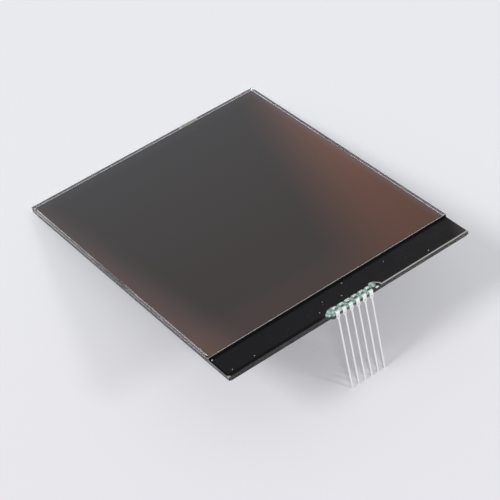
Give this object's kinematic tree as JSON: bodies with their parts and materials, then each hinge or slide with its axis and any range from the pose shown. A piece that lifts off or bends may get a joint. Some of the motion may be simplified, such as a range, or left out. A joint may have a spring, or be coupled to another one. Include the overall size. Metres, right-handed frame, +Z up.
{
  "type": "instrument cluster display glass",
  "caption": "Flat liquid crystal display glass with a stepped contact ledge whose clip-on pins are set in a resin bead, lying tilted on its pins.",
  "frame": {"origin": "centre of the display's footprint on the surface that it rests on, at the bottom of its bounding box", "axes": "+X along the contact ledge, with the pin row a little to +X of the middle; +Y from the ledge toward the rear edge; +Z up from the surface. The glass is turned 14.73 degrees about X, so that its rear edge is down"},
  "size_m": [0.091, 0.12, 0.0308],
  "materials": {
    "plate_glass": "polished float glass",
    "front_film": "smooth, dark grey to reddish brown",
    "back_film": "smooth, dark grey",
    "seal_adhesive": "cured",
    "crystal": "clear liquid",
    "end_seal": "cured, glossy",
    "silver_paste": "fine grained",
    "chip_silicon": "polished",
    "bond_film": "cured",
    "black_coat": "glossy black, with a few pinholes",
    "pin_resin": "glossy, translucent sea green",
    "tinned_strip": "bright tin plating"
  },
  "bodies": {
    "root": {"lower_glass": "plate_glass", "upper_glass": "plate_glass", "front_polarizer": "front_film", "rear_polarizer": "back_film", "perimeter_seal": "seal_adhesive", "liquid_crystal": "crystal", "fill_port_plug": "end_seal", "transfer_dot_left": "silver_paste", "transfer_dot_right": "silver_paste", "driver_chip": "chip_silicon", "chip_bond_film": "bond_film", "ledge_coat": "black_coat", "pin_resin": "pin_resin", "terminal_pin_1": "tinned_strip", "terminal_pin_2": "tinned_strip", "terminal_pin_3": "tinned_strip", "terminal_pin_4": "tinned_strip", "terminal_pin_5": "tinned_strip", "terminal_pin_6": "tinned_strip"}
  },
  "joints": []
}
